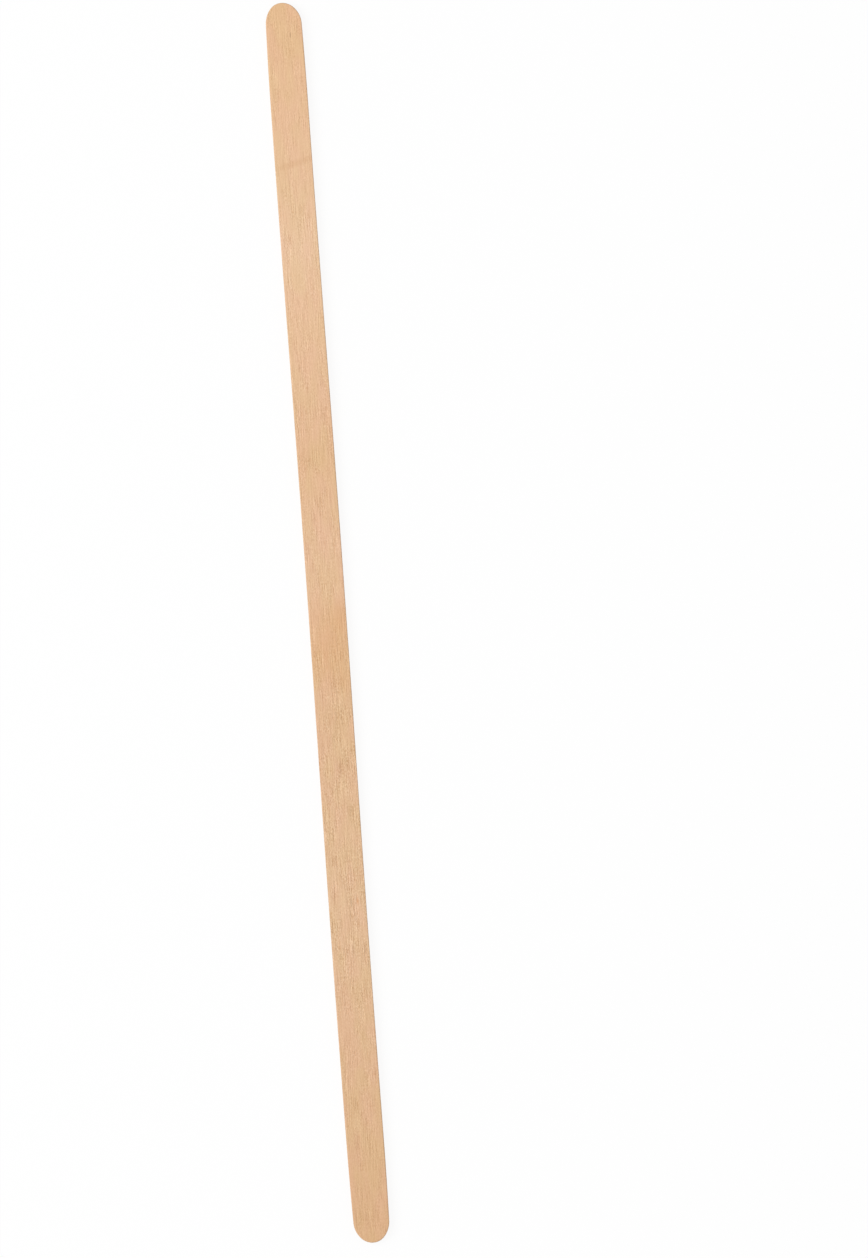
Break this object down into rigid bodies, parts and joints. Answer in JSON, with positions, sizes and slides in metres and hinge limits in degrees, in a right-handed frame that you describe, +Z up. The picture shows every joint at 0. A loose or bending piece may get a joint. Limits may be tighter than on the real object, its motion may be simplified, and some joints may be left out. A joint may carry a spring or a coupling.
{
  "type": "coffee stirrer",
  "caption": "Flat wooden coffee stirrer: a long straight slip of birch veneer with full rounded ends and softly eased edges.",
  "frame": {"origin": "middle of the broad face that the stick lies on", "axes": "+Y along the stick and its grain, +X across its width, +Z up through its thickness"},
  "size_m": [0.0054, 0.178, 0.0013],
  "materials": {
    "birch_veneer": "natural"
  },
  "bodies": {
    "root": {"stirrer": "birch_veneer"}
  },
  "joints": []
}
